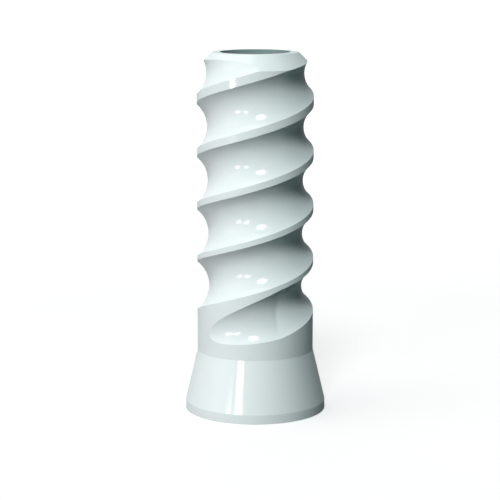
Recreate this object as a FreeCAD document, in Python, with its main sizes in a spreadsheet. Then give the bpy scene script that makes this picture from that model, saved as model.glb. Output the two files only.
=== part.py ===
# Temporary cementing post: a one-piece plastic tube with a flared foot and a two-start helical groove.
# Millimetres, +Z up. The origin is the centre of the seat face under the foot, and -Y is the front.
import FreeCAD, Part

import os

import Sketcher
from FreeCAD import Placement, Rotation, Vector

# Driving sizes: alias, value, meaning.
sizeRows = [
    ("post_height", 12.37, "foot to top face"),
    ("shank_diameter", 4.0, "tube, over the lands between the grooves"),
    ("foot_diameter", 4.84, "rim of the foot"),
    ("foot_rim_height", 0.31, "short cylinder at the rim"),
    ("foot_flare_height", 1.78, "cone from the rim up to the shank"),
    ("top_chamfer_height", 0.51, "along the axis"),
    ("top_chamfer_depth", 0.52, "across, on the radius"),
    ("groove_starts", 2, "equal grooves round the axis"),
    ("groove_lead", 3.67, "rise of one groove in one turn, right-hand"),
    ("groove_section_radius", 1.06, "round section, in a plane through the axis"),
    ("groove_depth", 0.414, "at the seam, where the run-out begins"),
    ("groove_taper_angle", 0.63, "degrees: the groove grows shallower towards the top"),
    ("groove_seam_rise", 1.58, "from the flare's top edge to the groove's centre at the seam"),
    ("groove_seam_angle", -64, "degrees from +X, anticlockwise seen from above"),
    ("runout_angle", 78, "degrees that the groove takes to leave the shank"),
    ("channel_diameter", 2.38, "screw channel from the ledge up to the top face"),
    ("screw_hole_diameter", 1.6, "through the ledge that the screw's head rests on"),
    ("ledge_thickness", 0.5, "between the seat recess and the channel"),
    ("seat_mouth_diameter", 4.1, "conical seat recess, at the foot's face"),
    ("seat_top_diameter", 3.0, "conical seat recess, at the ledge"),
    ("seat_depth", 1.35, "height of the seat recess"),
]

doc = FreeCAD.newDocument("TemporaryCementingPost")
sheet = doc.addObject("Spreadsheet::Sheet", "Sizes")
for row, (alias, value, meaning) in enumerate(sizeRows, start=1):
    sheet.set(f"A{row}", alias)
    sheet.set(f"B{row}", str(value))
    sheet.set(f"C{row}", meaning)
    sheet.setAlias(f"B{row}", alias)
doc.recompute()

body = doc.addObject("PartDesign::Body", "Post")
body.Label = "post"

# Points of a sketch: a geometry's number and which of its points.
originPoint = (-1, 1)


def startOf(line):
    return (line, 1)


def centreOf(circle):
    return (circle, 3)


def size(alias):
    return sheet.get(alias)


def originFeature(role):
    return next(feature for feature in body.Origin.OriginFeatures if feature.Role == role)


def axialSketch(name):
    """A sketch in a plane through the axis: its x is the radius and its y is the height."""
    sketch = body.newObject("Sketcher::SketchObject", name)
    sketch.AttachmentSupport = [(originFeature("XZ_Plane"), "")]
    sketch.MapMode = "FlatFace"
    return sketch


def closedOutline(sketch, corners):
    """Straight lines from corner to corner, the last back to the first."""
    count = len(corners)
    for start, end in zip(corners, corners[1:] + corners[:1]):
        sketch.addGeometry(Part.LineSegment(Vector(*start, 0), Vector(*end, 0)), False)
    for line in range(count):
        sketch.addConstraint(Sketcher.Constraint("Coincident", line, 2, (line + 1) % count, 1))


def addSize(sketch, kind, start, end, name, expression):
    """A named distance between two points that follows the sheet."""
    step = sketch.getPoint(*end) - sketch.getPoint(*start)
    drawn = step.x if kind == "DistanceX" else step.y
    number = sketch.addConstraint(Sketcher.Constraint(kind, *start, *end, drawn))
    sketch.renameConstraint(number, name)
    sketch.setExpression(f"Constraints.{name}", expression)


# The blank, turned about the axis: rim, flare, and a shank that is left long until the grooves are cut.
# The grooves run out within three section radii above the post's top, so the blank is that much longer.
rimRadius = size("foot_diameter") / 2
shankRadius = size("shank_diameter") / 2
flareTop = size("foot_rim_height") + size("foot_flare_height")
blankTop = size("post_height") + 3 * size("groove_section_radius")
blankProfile = axialSketch("BlankProfile")
closedOutline(blankProfile, [
    (0, 0),
    (rimRadius, 0),
    (rimRadius, size("foot_rim_height")),
    (shankRadius, flareTop),
    (shankRadius, blankTop),
    (0, blankTop),
])
blankProfile.addConstraint(Sketcher.Constraint("Coincident", *startOf(0), *originPoint))
blankProfile.addConstraint(Sketcher.Constraint("Horizontal", 0))
blankProfile.addConstraint(Sketcher.Constraint("Vertical", 1))
blankProfile.addConstraint(Sketcher.Constraint("Vertical", 3))
blankProfile.addConstraint(Sketcher.Constraint("Horizontal", 4))
blankProfile.addConstraint(Sketcher.Constraint("Vertical", 5))
addSize(blankProfile, "DistanceX", originPoint, startOf(1), "rimRadius", "Sizes.foot_diameter / 2")
addSize(blankProfile, "DistanceY", startOf(1), startOf(2), "rimHeight", "Sizes.foot_rim_height")
addSize(blankProfile, "DistanceY", startOf(2), startOf(3), "flareHeight", "Sizes.foot_flare_height")
addSize(blankProfile, "DistanceX", originPoint, startOf(3), "shankRadius", "Sizes.shank_diameter / 2")
addSize(blankProfile, "DistanceY", originPoint, startOf(4), "blankHeight",
        "Sizes.post_height + 3 * Sizes.groove_section_radius")

blank = body.newObject("PartDesign::Revolution", "TurnedBlank")
blank.Profile = blankProfile
blank.ReferenceAxis = (blankProfile, ["V_Axis"])
blank.Angle = 360
doc.recompute()

# The groove's round section, in the axial plane of the seam where the run-out begins.
grooveSection = axialSketch("GrooveSection")
grooveSection.AttachmentOffset = Placement(Vector(0, 0, 0), Rotation(Vector(0, 1, 0), size("groove_seam_angle")))
grooveSection.setExpression("AttachmentOffset.Rotation.Angle", "Sizes.groove_seam_angle")
sectionRadius = size("groove_section_radius")
sectionCentre = Vector(
    shankRadius - size("groove_depth") + sectionRadius,
    flareTop + size("groove_seam_rise"),
    0,
)
grooveSection.addGeometry(Part.Circle(sectionCentre, Vector(0, 0, 1), sectionRadius), False)
number = grooveSection.addConstraint(Sketcher.Constraint("Radius", 0, sectionRadius))
grooveSection.renameConstraint(number, "sectionRadius")
grooveSection.setExpression("Constraints.sectionRadius", "Sizes.groove_section_radius")
addSize(grooveSection, "DistanceX", originPoint, centreOf(0), "centreRadius",
        "Sizes.shank_diameter / 2 - Sizes.groove_depth + Sizes.groove_section_radius")
addSize(grooveSection, "DistanceY", originPoint, centreOf(0), "seamHeight",
        "Sizes.foot_rim_height + Sizes.foot_flare_height + Sizes.groove_seam_rise")
doc.recompute()

# The groove climbs from the seam until it is clear of the top face.
groove = body.newObject("PartDesign::SubtractiveHelix", "Groove")
groove.Profile = grooveSection
groove.ReferenceAxis = (originFeature("Z_Axis"), [""])
groove.Mode = "pitch-height-angle"
groove.setExpression("Pitch", "Sizes.groove_lead")
groove.setExpression("Height", "Sizes.post_height - Sizes.foot_rim_height - Sizes.foot_flare_height"
                     " - Sizes.groove_seam_rise + Sizes.groove_section_radius")
groove.setExpression("Angle", "Sizes.groove_taper_angle")
doc.recompute()

# Below the seam it keeps its lead and its section while the cutter draws back out of the shank.
runout = body.newObject("PartDesign::SubtractiveHelix", "GrooveRunout")
runout.Profile = grooveSection
runout.ReferenceAxis = (originFeature("Z_Axis"), [""])
runout.Mode = "height-turns-growth"
runout.Reversed = True
runout.setExpression("Turns", "Sizes.runout_angle / 360")
runout.setExpression("Height", "Sizes.groove_lead * Sizes.runout_angle / 360")
runout.setExpression("Growth", "Sizes.groove_depth * 360 / Sizes.runout_angle")
doc.recompute()

# The second start is the same groove half a turn round.
starts = body.newObject("PartDesign::PolarPattern", "GrooveStarts")
starts.Originals = [groove, runout]
starts.Axis = (originFeature("Z_Axis"), [""])
starts.Angle = 360
starts.setExpression("Occurrences", "Sizes.groove_starts")
body.Tip = starts
doc.recompute()

# The top is then turned to its height and chamfer. The cut's outline follows the chamfer on past the shank.
chamferDepth = size("top_chamfer_depth")
topProfile = axialSketch("TopProfile")
closedOutline(topProfile, [
    (0, size("post_height")),
    (shankRadius - chamferDepth, size("post_height")),
    (shankRadius + chamferDepth, size("post_height") - 2 * size("top_chamfer_height")),
    (shankRadius + chamferDepth, blankTop + sectionRadius),
    (0, blankTop + sectionRadius),
])
topProfile.addConstraint(Sketcher.Constraint("Horizontal", 0))
topProfile.addConstraint(Sketcher.Constraint("Vertical", 2))
topProfile.addConstraint(Sketcher.Constraint("Horizontal", 3))
topProfile.addConstraint(Sketcher.Constraint("Vertical", 4))
topProfile.addConstraint(Sketcher.Constraint("PointOnObject", *startOf(0), -2))  # on the vertical axis
addSize(topProfile, "DistanceY", originPoint, startOf(0), "postHeight", "Sizes.post_height")
addSize(topProfile, "DistanceX", originPoint, startOf(1), "topRadius",
        "Sizes.shank_diameter / 2 - Sizes.top_chamfer_depth")
addSize(topProfile, "DistanceX", startOf(1), startOf(2), "cutDepth", "2 * Sizes.top_chamfer_depth")
addSize(topProfile, "DistanceY", startOf(2), startOf(1), "cutHeight", "2 * Sizes.top_chamfer_height")
addSize(topProfile, "DistanceY", originPoint, startOf(3), "cutTop",
        "Sizes.post_height + 4 * Sizes.groove_section_radius")

top = body.newObject("PartDesign::Groove", "ChamferedTop")
top.Profile = topProfile
top.ReferenceAxis = (topProfile, ["V_Axis"])
top.Angle = 360
body.Tip = top
doc.recompute()

# The inside, from the foot up: conical seat, screw hole through the ledge, screw channel.
mouthRadius = size("seat_mouth_diameter") / 2
seatTopRadius = size("seat_top_diameter") / 2
holeRadius = size("screw_hole_diameter") / 2
channelRadius = size("channel_diameter") / 2
ledgeTop = size("seat_depth") + size("ledge_thickness")
inside = axialSketch("InsideProfile")
closedOutline(inside, [
    (0, 0),
    (mouthRadius, 0),
    (seatTopRadius, size("seat_depth")),
    (holeRadius, size("seat_depth")),
    (holeRadius, ledgeTop),
    (channelRadius, ledgeTop),
    (channelRadius, size("post_height")),
    (0, size("post_height")),
])
inside.addConstraint(Sketcher.Constraint("Coincident", *startOf(0), *originPoint))
inside.addConstraint(Sketcher.Constraint("Horizontal", 0))
inside.addConstraint(Sketcher.Constraint("Horizontal", 2))
inside.addConstraint(Sketcher.Constraint("Vertical", 3))
inside.addConstraint(Sketcher.Constraint("Horizontal", 4))
inside.addConstraint(Sketcher.Constraint("Vertical", 5))
inside.addConstraint(Sketcher.Constraint("Horizontal", 6))
inside.addConstraint(Sketcher.Constraint("Vertical", 7))
addSize(inside, "DistanceX", originPoint, startOf(1), "mouthRadius", "Sizes.seat_mouth_diameter / 2")
addSize(inside, "DistanceX", originPoint, startOf(2), "seatTopRadius", "Sizes.seat_top_diameter / 2")
addSize(inside, "DistanceY", originPoint, startOf(2), "seatDepth", "Sizes.seat_depth")
addSize(inside, "DistanceX", originPoint, startOf(3), "holeRadius", "Sizes.screw_hole_diameter / 2")
addSize(inside, "DistanceY", startOf(3), startOf(4), "ledgeThickness", "Sizes.ledge_thickness")
addSize(inside, "DistanceX", originPoint, startOf(5), "channelRadius", "Sizes.channel_diameter / 2")
addSize(inside, "DistanceY", originPoint, startOf(6), "postHeight", "Sizes.post_height")

hollow = body.newObject("PartDesign::Groove", "ScrewChannel")
hollow.Profile = inside
hollow.ReferenceAxis = (inside, ["V_Axis"])
hollow.Angle = 360
body.Tip = hollow
doc.recompute()

for item in doc.Objects:
    if "Invalid" in item.State or "Error" in item.State:
        raise RuntimeError(f"{item.Name} failed: {item.State}")
if body.Shape.isNull() or not body.Shape.isValid():
    raise RuntimeError("the post has no valid shape")

os.makedirs("parts", exist_ok=True)
body.Shape.exportStep(f"parts/{body.Label}.step")
box = body.Shape.optimalBoundingBox(False, False)
print(f"{body.Label}: {len(body.Shape.Solids)} solid, {body.Shape.Volume:.2f} mm3, "
      f"{box.XLength:.2f} x {box.YLength:.2f} x {box.ZLength:.2f} mm")
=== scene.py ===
import math

import bpy
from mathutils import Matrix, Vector


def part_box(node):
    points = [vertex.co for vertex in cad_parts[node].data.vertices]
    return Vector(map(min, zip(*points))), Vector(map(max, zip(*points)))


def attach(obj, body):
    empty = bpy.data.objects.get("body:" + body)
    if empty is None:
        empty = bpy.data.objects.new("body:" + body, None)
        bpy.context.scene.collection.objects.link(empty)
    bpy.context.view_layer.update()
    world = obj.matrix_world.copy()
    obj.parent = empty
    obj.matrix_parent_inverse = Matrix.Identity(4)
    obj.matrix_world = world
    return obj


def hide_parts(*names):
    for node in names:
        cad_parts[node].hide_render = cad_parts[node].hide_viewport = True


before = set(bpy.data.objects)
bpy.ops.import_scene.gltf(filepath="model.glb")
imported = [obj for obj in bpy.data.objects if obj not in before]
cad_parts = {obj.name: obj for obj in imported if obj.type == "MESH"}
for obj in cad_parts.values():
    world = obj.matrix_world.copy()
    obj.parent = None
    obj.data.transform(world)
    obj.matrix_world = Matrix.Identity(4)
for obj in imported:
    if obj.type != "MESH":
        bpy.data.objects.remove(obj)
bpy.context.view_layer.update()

lowCorner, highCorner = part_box("post")
millimetre = 0.001


# Small helpers

def deselectAll():
    if bpy.context.mode != "OBJECT":
        bpy.ops.object.mode_set(mode="OBJECT")
    bpy.ops.object.select_all(action="DESELECT")


def pick(*pieces):
    deselectAll()
    for piece in pieces:
        piece.select_set(True)
    bpy.context.view_layer.objects.active = pieces[0]


def extrudeTo(radiusNow, heightNow, radius, height):
    # carries the selected ring on to its next radius and height
    bpy.ops.mesh.extrude_region_move(TRANSFORM_OT_translate={"value": (0, 0, height - heightNow)})
    growth = radius / radiusNow
    bpy.ops.transform.resize(value=(growth, growth, 1), center_override=(0, 0, height))


def cutWith(piece, cutter):
    pick(piece)
    bpy.ops.object.modifier_add(type="BOOLEAN")
    cut = piece.modifiers[-1]
    cut.operation = "DIFFERENCE"
    cut.solver = "EXACT"
    cut.object = cutter
    bpy.ops.object.modifier_apply(modifier=cut.name)
    bpy.data.objects.remove(cutter)


# Post: all lengths in millimetres, brought to metres at the end

postShape = {
    "height": (highCorner[2] - lowCorner[2]) / millimetre,
    "footRadius": (highCorner[1] - lowCorner[1]) / 2 / millimetre,
    "rimHeight": 0.31,
    "flareTop": 2.09,
    "shankRadius": 2.0,
    "chamferHeight": 0.51,
    "chamferDepth": 0.52,
    "channelRadius": 1.19,
    "ledgeTop": 1.85,
    "screwHoleRadius": 0.8,
    "seatDepth": 1.35,
    "seatTopRadius": 1.5,
    "seatMouthRadius": 2.05,
    "segments": 256,
    "weld": 0.001,    # points nearer than this become one
    "smoothAngle": math.radians(6),    # keeps the line where the groove starts to run out
}

grooveShape = {
    "starts": 2,
    "lead": 3.67,
    "sectionRadius": 1.06,
    "depth": 0.414,
    "taper": math.radians(0.63),    # shallower towards the top
    "seamHeight": 3.67,
    "seamAngle": math.radians(-64),
    "runoutAngle": math.radians(78),
    "runoutPast": math.radians(6),    # clear of the shank
    "step": math.radians(3),
    "sectionVertices": 144,
    "outerReach": 0.25,    # how far the cutter stands out of the shank
}


def buildBlank(shape):
    # one ring carried from the seat's mouth round the outside, over the top and down the inside
    corners = [
        (shape["seatMouthRadius"], 0),
        (shape["footRadius"], 0),
        (shape["footRadius"], shape["rimHeight"]),
        (shape["shankRadius"], shape["flareTop"]),
        (shape["shankRadius"], shape["height"] - shape["chamferHeight"]),
        (shape["shankRadius"] - shape["chamferDepth"], shape["height"]),
        (shape["channelRadius"], shape["height"]),
        (shape["channelRadius"], shape["ledgeTop"]),
        (shape["screwHoleRadius"], shape["ledgeTop"]),
        (shape["screwHoleRadius"], shape["seatDepth"]),
        (shape["seatTopRadius"], shape["seatDepth"]),
        (shape["seatMouthRadius"], 0),
    ]
    deselectAll()
    bpy.ops.mesh.primitive_circle_add(
        vertices=shape["segments"],
        radius=shape["seatMouthRadius"],
        location=(0, 0, 0),
    )
    blank = bpy.context.object
    bpy.ops.object.mode_set(mode="EDIT")
    bpy.ops.mesh.select_all(action="SELECT")
    for (radiusNow, heightNow), (radius, height) in zip(corners, corners[1:]):
        extrudeTo(radiusNow, heightNow, radius, height)
    bpy.ops.mesh.select_all(action="SELECT")
    bpy.ops.mesh.remove_doubles(threshold=shape["weld"])
    bpy.ops.mesh.normals_make_consistent(inside=False)
    bpy.ops.object.mode_set(mode="OBJECT")
    return blank


def buildCutter(groove, shape):
    # the groove's round section, swept from past the run-out up through the top
    centreRadius = shape["shankRadius"] - groove["depth"] + groove["sectionRadius"]
    runoutTurn = groove["runoutAngle"] + groove["runoutPast"]
    growthPerRadian = groove["depth"] / groove["runoutAngle"]
    risePerRadian = groove["lead"] / math.tau
    startAngle = groove["seamAngle"] - runoutTurn
    startRadius = centreRadius + growthPerRadian * runoutTurn
    startHeight = groove["seamHeight"] - risePerRadian * runoutTurn
    climb = shape["height"] - groove["seamHeight"] + groove["sectionRadius"]
    runoutSteps = round(runoutTurn / groove["step"])
    climbSteps = math.ceil(climb / risePerRadian / groove["step"])

    deselectAll()
    bpy.ops.mesh.primitive_circle_add(
        vertices=groove["sectionVertices"],
        radius=groove["sectionRadius"],
        location=(startRadius, 0, startHeight),
        rotation=(math.pi / 2, 0, 0),
    )
    cutter = bpy.context.object
    bpy.ops.object.transform_apply(location=True, rotation=True, scale=True)
    reach = startRadius - groove["sectionRadius"] + groove["depth"] + groove["outerReach"]
    bpy.ops.object.mode_set(mode="EDIT")
    bpy.ops.mesh.select_mode(type="VERT")
    bpy.ops.mesh.select_all(action="DESELECT")
    bpy.ops.object.mode_set(mode="OBJECT")
    for vertex in cutter.data.vertices:
        vertex.select = vertex.co.x > reach
    bpy.ops.object.mode_set(mode="EDIT")
    bpy.ops.mesh.delete(type="VERT")
    bpy.ops.mesh.select_all(action="SELECT")
    bpy.ops.mesh.edge_face_add()
    bpy.ops.transform.rotate(value=-startAngle, orient_axis="Z", center_override=(0, 0, 0))

    angle = startAngle
    for step in range(runoutSteps + climbSteps):
        rise = risePerRadian * groove["step"]
        outward = rise * math.tan(groove["taper"])
        if step < runoutSteps:
            outward = -growthPerRadian * groove["step"]
        angle += groove["step"]
        bpy.ops.mesh.extrude_region_move(TRANSFORM_OT_translate={"value": (0, 0, rise)})
        bpy.ops.transform.rotate(value=-groove["step"], orient_axis="Z", center_override=(0, 0, 0))
        bpy.ops.transform.translate(value=(outward * math.cos(angle), outward * math.sin(angle), 0))
    bpy.ops.mesh.select_all(action="SELECT")
    bpy.ops.mesh.normals_make_consistent(inside=False)
    bpy.ops.object.mode_set(mode="OBJECT")
    return cutter


def buildPost(shape, groove):
    post = buildBlank(shape)
    firstCutter = buildCutter(groove, shape)
    cutters = [firstCutter]
    for start in range(1, groove["starts"]):
        pick(firstCutter)
        bpy.ops.object.duplicate()
        cutter = bpy.context.object
        bpy.ops.object.mode_set(mode="EDIT")
        bpy.ops.mesh.select_all(action="SELECT")
        turn = math.tau * start / groove["starts"]
        bpy.ops.transform.rotate(value=turn, orient_axis="Z", center_override=(0, 0, 0))
        bpy.ops.object.mode_set(mode="OBJECT")
        cutters.append(cutter)
    for cutter in cutters:
        cutWith(post, cutter)
    pick(post)
    bpy.ops.transform.resize(value=(millimetre, millimetre, millimetre))
    bpy.ops.object.transform_apply(location=True, rotation=True, scale=True)
    bpy.ops.object.shade_smooth_by_angle(angle=shape["smoothAngle"])
    post.name = "postBody"
    return post


post = buildPost(postShape, grooveShape)
print("post:", len(post.data.polygons), "faces")


# Plastic

plasticLook = {
    "colour": (0.75, 0.81, 0.805, 1),
    "cloud": (0.737, 0.8, 0.795, 1),    # what the colour drifts to, in soft patches
    "cloudSize": 700,
    "cloudDetail": 2,
    "channelPaintedShade": (0.28, 0.36, 0.36, 1),    # painted shade: the bored channel's wall is coloured darker, standing in for the shade in that recess
    "channelShadeEdge": (0.001195, 0.001215),    # radii between which the painted shade gives way to the body colour
    "roughness": 0.3,
    "roughnessChange": 0.05,
    "specularLevel": 0,
    "ior": 1.65,
    "polish": 0.11,    # how much of the sharp gloss lies over the softer body
    "polishRoughness": 0.12,
    "polishIor": 2.5,    # high, so the glints stay while steep walls mirror less of the white floor
    "grainSize": 9000,
    "grainDetail": 3,
    "bumpStrength": 0.02,
    "bumpDistance": 0.000002,
    "subsurface": 0.05,
    "subsurfaceDepth": 0.0002,
    "subsurfaceSpread": (0.5, 1, 1),    # red goes less deep, so shaded walls stay cool
}


def addPatches(nodes, links, place, size, detail):
    patches = nodes.new("ShaderNodeTexNoise")
    patches.inputs["Scale"].default_value = size
    patches.inputs["Detail"].default_value = detail
    links.new(place.outputs["Object"], patches.inputs["Vector"])
    return patches.outputs["Fac"]


def addBlend(nodes, links, factor, low, high):
    blend = nodes.new("ShaderNodeMix")
    blend.data_type = "RGBA"
    blend.inputs["A"].default_value = low
    blend.inputs["B"].default_value = high
    links.new(factor, blend.inputs["Factor"])
    return blend


def makePlastic(look):
    material = bpy.data.materials.new("postPlastic")
    material.use_nodes = True
    nodes = material.node_tree.nodes
    links = material.node_tree.links
    shader = nodes["Principled BSDF"]
    shader.inputs["IOR"].default_value = look["ior"]
    shader.inputs["Specular IOR Level"].default_value = look["specularLevel"]
    shader.inputs["Coat Weight"].default_value = look["polish"]
    shader.inputs["Coat Roughness"].default_value = look["polishRoughness"]
    shader.inputs["Coat IOR"].default_value = look["polishIor"]
    shader.inputs["Subsurface Weight"].default_value = look["subsurface"]
    shader.inputs["Subsurface Scale"].default_value = look["subsurfaceDepth"]
    shader.inputs["Subsurface Radius"].default_value = look["subsurfaceSpread"]
    place = nodes.new("ShaderNodeTexCoord")

    clouds = addPatches(nodes, links, place, look["cloudSize"], look["cloudDetail"])
    body = addBlend(nodes, links, clouds, look["colour"], look["cloud"])
    # painted shade in the bored channel: within the channel radius from the axis, the base colour
    # turns to the darker channel shade
    flat = nodes.new("ShaderNodeVectorMath")    # leaves out the height
    flat.operation = "MULTIPLY"
    flat.inputs[1].default_value = (1, 1, 0)
    links.new(place.outputs["Object"], flat.inputs[0])
    fromAxis = nodes.new("ShaderNodeVectorMath")
    fromAxis.operation = "LENGTH"
    links.new(flat.outputs["Vector"], fromAxis.inputs[0])
    outside = nodes.new("ShaderNodeMapRange")
    outside.inputs["From Min"].default_value = look["channelShadeEdge"][0]
    outside.inputs["From Max"].default_value = look["channelShadeEdge"][1]
    links.new(fromAxis.outputs["Value"], outside.inputs["Value"])
    onOutside = outside.outputs["Result"]
    colour = addBlend(nodes, links, onOutside, look["channelPaintedShade"], look["colour"])
    links.new(body.outputs["Result"], colour.inputs["B"])
    links.new(colour.outputs["Result"], shader.inputs["Base Color"])

    grain = addPatches(nodes, links, place, look["grainSize"], look["grainDetail"])
    softness = nodes.new("ShaderNodeMapRange")
    softness.inputs["To Min"].default_value = look["roughness"] - look["roughnessChange"]
    softness.inputs["To Max"].default_value = look["roughness"] + look["roughnessChange"]
    links.new(grain, softness.inputs["Value"])
    links.new(softness.outputs["Result"], shader.inputs["Roughness"])
    bump = nodes.new("ShaderNodeBump")
    bump.inputs["Strength"].default_value = look["bumpStrength"]
    bump.inputs["Distance"].default_value = look["bumpDistance"]
    links.new(grain, bump.inputs["Height"])
    links.new(bump.outputs["Normal"], shader.inputs["Normal"])
    return material


post.data.materials.clear()
post.data.materials.append(makePlastic(plasticLook))
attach(post, "root")
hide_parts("post")
print("plastic: done")


# Stage: a white floor that keeps the shadow, and a white surround behind it

stageLook = {
    "floorRadius": 0.6,
    "floorSides": 96,
    "floorDrop": 0.00001,    # keeps the floor's face clear of the foot's
    "paint": (0.45, 0.45, 0.45, 1),    # takes the shadow
    "bounce": (0.01, 0.045, 0.047, 1),    # thrown back onto the post, as cool as its shades
    "glowNear": 0.6,    # with the light that falls on it, the floor shows white
    "glowFar": 1.0,
    "nearRadius": 0.02,
    "farRadius": 0.12,
    "surroundColour": (1, 1, 1, 1),
    "fillColour": (0.3, 1.0, 1.0, 1),
    "fillStrength": 0.01,
}


def seenDirectly(nodes, links):
    # 1 for camera, glossy and transmission rays, 0 for the rest
    path = nodes.new("ShaderNodeLightPath")
    cameraOrGlossy = nodes.new("ShaderNodeMath")
    cameraOrGlossy.operation = "MAXIMUM"
    links.new(path.outputs["Is Camera Ray"], cameraOrGlossy.inputs[0])
    links.new(path.outputs["Is Glossy Ray"], cameraOrGlossy.inputs[1])
    either = nodes.new("ShaderNodeMath")
    either.operation = "MAXIMUM"
    links.new(cameraOrGlossy.outputs["Value"], either.inputs[0])
    links.new(path.outputs["Is Transmission Ray"], either.inputs[1])
    return either.outputs["Value"]


def buildFloor(look):
    deselectAll()
    bpy.ops.mesh.primitive_circle_add(
        vertices=look["floorSides"],
        radius=look["floorRadius"],
        fill_type="NGON",
        location=(0, 0, -look["floorDrop"]),
    )
    floor = bpy.context.object
    floor.name = "whiteFloor"
    material = bpy.data.materials.new("floorWhite")
    material.use_nodes = True
    nodes = material.node_tree.nodes
    links = material.node_tree.links
    nodes.clear()
    seen = seenDirectly(nodes, links)
    colour = addBlend(nodes, links, seen, look["bounce"], look["paint"])
    paint = nodes.new("ShaderNodeBsdfDiffuse")
    links.new(colour.outputs["Result"], paint.inputs["Color"])
    place = nodes.new("ShaderNodeTexCoord")
    fromPost = nodes.new("ShaderNodeVectorMath")
    fromPost.operation = "LENGTH"
    links.new(place.outputs["Object"], fromPost.inputs[0])
    spread = nodes.new("ShaderNodeMapRange")
    spread.inputs["From Min"].default_value = look["nearRadius"]
    spread.inputs["From Max"].default_value = look["farRadius"]
    spread.inputs["To Min"].default_value = look["glowNear"]
    spread.inputs["To Max"].default_value = look["glowFar"]
    links.new(fromPost.outputs["Value"], spread.inputs["Value"])
    strength = nodes.new("ShaderNodeMath")
    strength.operation = "MULTIPLY"
    links.new(seen, strength.inputs[0])
    links.new(spread.outputs["Result"], strength.inputs[1])
    glow = nodes.new("ShaderNodeEmission")
    links.new(strength.outputs["Value"], glow.inputs["Strength"])
    both = nodes.new("ShaderNodeAddShader")
    links.new(paint.outputs["BSDF"], both.inputs[0])
    links.new(glow.outputs["Emission"], both.inputs[1])
    output = nodes.new("ShaderNodeOutputMaterial")
    links.new(both.outputs["Shader"], output.inputs["Surface"])
    floor.data.materials.append(material)


def buildSurround(look):
    world = bpy.data.worlds.new("studio")
    bpy.context.scene.world = world
    world.use_nodes = True
    nodes = world.node_tree.nodes
    links = world.node_tree.links
    nodes.clear()
    seen = seenDirectly(nodes, links)
    fill = nodes.new("ShaderNodeBackground")
    fill.inputs["Color"].default_value = look["fillColour"]
    fill.inputs["Strength"].default_value = look["fillStrength"]
    white = nodes.new("ShaderNodeBackground")
    white.inputs["Color"].default_value = look["surroundColour"]
    choice = nodes.new("ShaderNodeMixShader")
    links.new(seen, choice.inputs["Fac"])
    links.new(fill.outputs["Background"], choice.inputs[1])
    links.new(white.outputs["Background"], choice.inputs[2])
    output = nodes.new("ShaderNodeOutputWorld")
    links.new(choice.outputs["Shader"], output.inputs["Surface"])


buildFloor(stageLook)
buildSurround(stageLook)
print("stage: done")


# Lamps: soft discs aimed at the post. Angles are in degrees, with azimuth from the front towards
# +X. Reach is half the angle that a disc fills, across and up. Brightness is the disc's own, where
# white is 1.

lamps = {
    "lowLeft": {
        "azimuth": -44, "elevation": 1.2, "reach": (6.5, 4.6), "distance": 0.09,
        "brightness": 27, "colour": (1, 0.92, 0.92),
    },
    "left": {
        "azimuth": -28, "elevation": 11, "reach": (6, 5), "distance": 0.4,
        "brightness": 20, "colour": (0.97, 1, 1),
    },
    "high": {
        "azimuth": -8, "elevation": 46.5, "reach": (7.5, 9), "distance": 0.4,
        "brightness": 29.8, "colour": (0.92, 1, 1),
    },
    "sideLeft": {
        "azimuth": -70, "elevation": 20, "reach": (18, 18), "distance": 0.4,
        "brightness": 1.5, "colour": (1, 0.92, 0.92),
    },
    "overhead": {
        "azimuth": -90, "elevation": 71, "reach": (18, 18), "distance": 0.4,
        "brightness": 2.8, "colour": (1, 1, 1),
    },
    "backRight": {
        "azimuth": 172, "elevation": 9, "reach": (25, 8), "distance": 0.4,
        "brightness": 8, "colour": (1, 1, 1), "glints": False,
    },
    "backLeft": {
        "azimuth": -155, "elevation": 10, "reach": (20, 9), "distance": 0.4,
        "brightness": 5.5, "colour": (1, 1, 1), "glints": False,
    },
}
lampTarget = Vector((0, 0, 0.0053))


def addLamp(name, lamp):
    azimuth = math.radians(lamp["azimuth"])
    elevation = math.radians(lamp["elevation"])
    direction = Vector((
        math.cos(elevation) * math.sin(azimuth),
        -math.cos(elevation) * math.cos(azimuth),
        math.sin(elevation),
    ))
    halfWidth, halfHeight = (
        lamp["distance"] * math.tan(math.radians(reach)) for reach in lamp["reach"]
    )
    area = math.pi * halfWidth * halfHeight
    deselectAll()
    bpy.ops.object.light_add(type="AREA", location=lampTarget + direction * lamp["distance"])
    light = bpy.context.object
    light.name = name
    light.rotation_euler = direction.to_track_quat("Z", "Y").to_euler()
    light.visible_camera = False
    light.visible_glossy = lamp.get("glints", True)    # off where the outline would mirror the lamp
    light.data.shape = "ELLIPSE"
    light.data.size = 2 * halfWidth
    light.data.size_y = 2 * halfHeight
    light.data.energy = lamp["brightness"] * math.pi * area
    light.data.color = lamp["colour"]


for lampName, lamp in lamps.items():
    addLamp(lampName, lamp)
print("lamps:", len(lamps))


# Camera: the photograph's view

photoView = {
    "distance": 0.06116,    # in front of the axis
    "height": 0.01652,    # above the foot's face
    "pitch": math.radians(10.17),
    "focalPixels": 1800.1,
    "photoPixels": 500,
    "axisPixel": 255.25,    # where the post's axis stands in the photograph
    "nearest": 0.001,    # nothing closer to the camera is drawn
}


def addCamera(view):
    deselectAll()
    bpy.ops.object.camera_add(
        location=(0, -view["distance"], view["height"]),
        rotation=(math.pi / 2 - view["pitch"], 0, 0),
    )
    camera = bpy.context.object
    camera.data.lens = view["focalPixels"] / view["photoPixels"] * camera.data.sensor_width
    camera.data.shift_x = (view["photoPixels"] / 2 - view["axisPixel"]) / view["photoPixels"]
    camera.data.clip_start = view["nearest"]
    bpy.context.scene.camera = camera


addCamera(photoView)
bpy.context.scene.view_settings.view_transform = "Standard"
print("camera: done")
